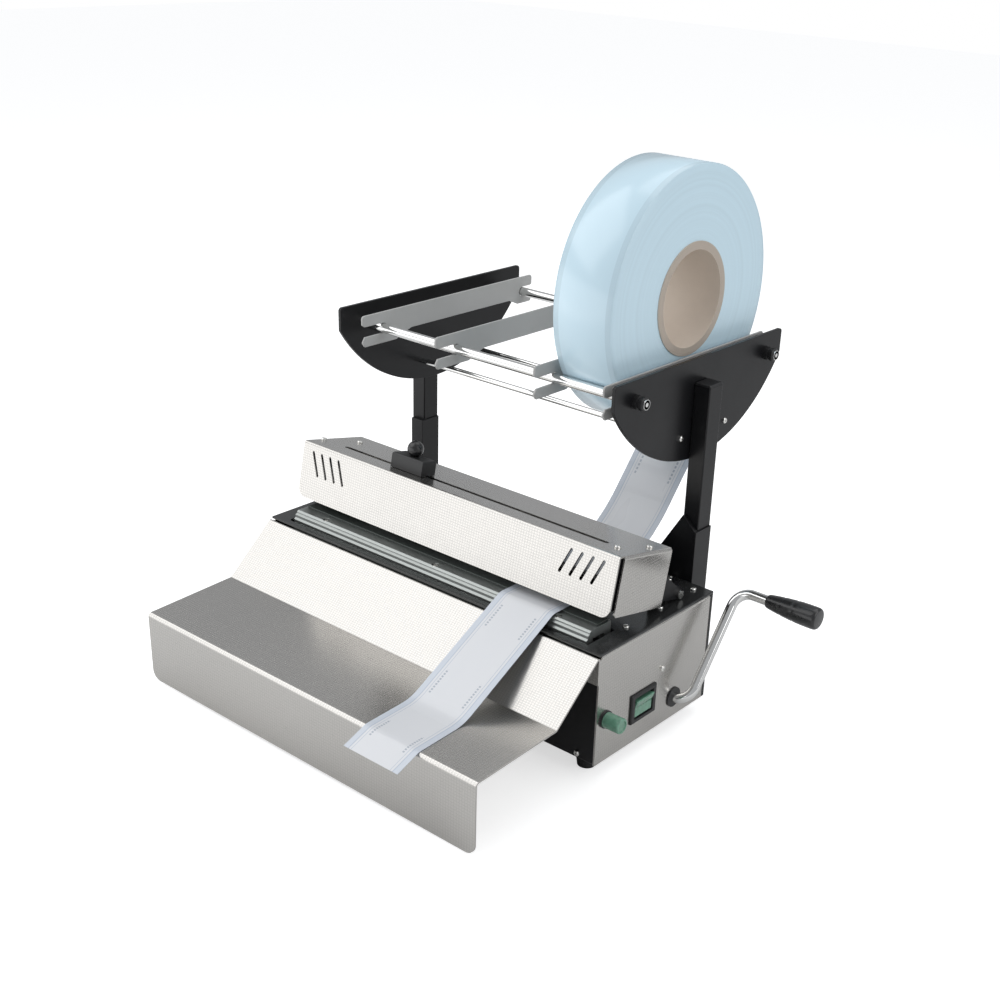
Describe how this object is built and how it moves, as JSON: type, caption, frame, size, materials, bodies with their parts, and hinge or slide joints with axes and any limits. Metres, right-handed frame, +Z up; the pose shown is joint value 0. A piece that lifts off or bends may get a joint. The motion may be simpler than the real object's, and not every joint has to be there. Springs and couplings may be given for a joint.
{
  "type": "pouch reel heat sealer",
  "caption": "Bench-top heat sealer for pouch film: a sheet-metal base with a hinged sealing head, side crank, sliding knife, work table and a reel stand with a film roll and dividers.",
  "frame": {"origin": "centre of the footprint, on the surface the feet stand on", "axes": "+Z up, +X to the operator's right along the sealing jaws, -Y towards the operator"},
  "size_m": [0.4615, 0.4371, 0.4434],
  "materials": {
    "stainless": "satin sheet with a fine woven embossing",
    "black_paint": "smooth semi-gloss black enamel",
    "dark_plate": "polished dark plate",
    "chrome": "bright",
    "zinc": "bright zinc-plated screws",
    "rail_aluminium": "grey anodised extrusion",
    "bar_aluminium": "machined",
    "silicone": "matt dark silicone",
    "rubber": "matt black",
    "black_plastic": "matt black moulding",
    "grey_plastic": "grey-white strip",
    "green_lens": "translucent green",
    "board": "printed board",
    "copper_iron": "lamination stack with its winding",
    "insulator": "heat-resistant board",
    "blade_steel": "ground thin steel",
    "film": "clear film wound over white paper, pale blue",
    "film_sheet": "clear film over white paper",
    "cardboard": "wound board tube"
  },
  "bodies": {
    "base": {"base_pan": "black_paint", "side_panel_left": "stainless", "side_panel_right": "stainless", "rear_panel": "black_paint", "top_plate": "dark_plate", "work_table": "stainless", "rubber_feet": "rubber", "case_screws": "zinc", "jaw_rail": "rail_aluminium", "silicone_strip": "silicone", "rail_bolts": "zinc", "hinge_brackets": "black_paint", "hinge_pins": "zinc", "shaft_bushes": "black_plastic", "return_spring": "zinc", "power_inlet": "black_plastic", "inlet_pins": "zinc", "transformer": "copper_iron", "control_board": "board", "switch_bezel": "black_plastic", "lamp_base": "black_plastic", "lamp_lens": "green_lens", "post_left": "black_paint", "post_right": "black_paint", "post_caps": "black_plastic", "post_bracket_left": "black_paint", "post_bracket_right": "black_paint", "stand_screws": "zinc", "reel_plate_left": "black_paint", "reel_plate_right": "black_paint", "reel_rods": "chrome", "rod_collars": "black_plastic", "stay_rods": "chrome", "film_web": "film_sheet"},
    "head": {"head_cover": "stainless", "cover_screws": "zinc", "head_arm_left": "black_paint", "head_arm_right": "black_paint", "head_bars": "black_paint", "heater_block": "insulator", "heating_bar": "bar_aluminium", "knife_track": "zinc", "draw_plates": "black_paint"},
    "knife": {"knife_block": "black_plastic", "knife_stem": "blade_steel", "knife_ball": "black_plastic", "knife_shoe": "black_plastic", "knife_blade": "blade_steel"},
    "lever": {"cross_shaft": "zinc", "crank_arms": "black_paint", "crank_pins": "zinc", "crank_rod": "chrome", "crank_grip": "black_plastic"},
    "rocker": {"rocker": "green_lens"},
    "roll": {"film_roll": "film", "roll_core": "cardboard"},
    "divider_1": {"divider_1": "grey_plastic"},
    "divider_2": {"divider_2": "grey_plastic"},
    "divider_3": {"divider_3": "grey_plastic"},
    "divider_4": {"divider_4": "grey_plastic"}
  },
  "joints": [
    {"name": "crank_turn", "type": "hinge", "parent": "base", "child": "lever", "pos_m": [0.155, 0.041, 0.0326], "axis": [1, 0, 0], "range_deg": [0, 80], "stiffness_Nm_per_rad": 0.35, "springref_deg": -80.21},
    {"name": "head_hinge", "type": "hinge", "parent": "base", "child": "head", "pos_m": [-0.045, 0.056, 0.1165], "axis": [1, 0, 0], "range_deg": [0, 4]},
    {"name": "knife_slide", "type": "slide", "parent": "head", "child": "knife", "axis": [1, 0, 0], "range_m": [-0.071, 0.199]},
    {"name": "rocker_tilt", "type": "hinge", "parent": "base", "child": "rocker", "pos_m": [0.138, -0.0025, 0.045], "axis": [0, 1, 0], "range_deg": [-20, 0]},
    {"name": "roll_spin", "type": "hinge", "parent": "base", "child": "roll", "pos_m": [0.0565, 0.10545, 0.34], "axis": [1, 0, 0], "continuous": true},
    {"name": "divider_1_slide", "type": "slide", "parent": "base", "child": "divider_1", "axis": [1, 0, 0], "range_m": [-0.0185, 0.0395]},
    {"name": "divider_2_slide", "type": "slide", "parent": "base", "child": "divider_2", "axis": [1, 0, 0], "range_m": [-0.041, 0.047]},
    {"name": "divider_3_slide", "type": "slide", "parent": "base", "child": "divider_3", "axis": [1, 0, 0], "range_m": [-0.053, 0.005]},
    {"name": "divider_4_slide", "type": "slide", "parent": "base", "child": "divider_4", "axis": [1, 0, 0], "range_m": [-0.003, 0.008]}
  ],
  "couplings": [
    {"joint": "head_hinge", "follows": "crank_turn", "ratio": 0.05}
  ]
}
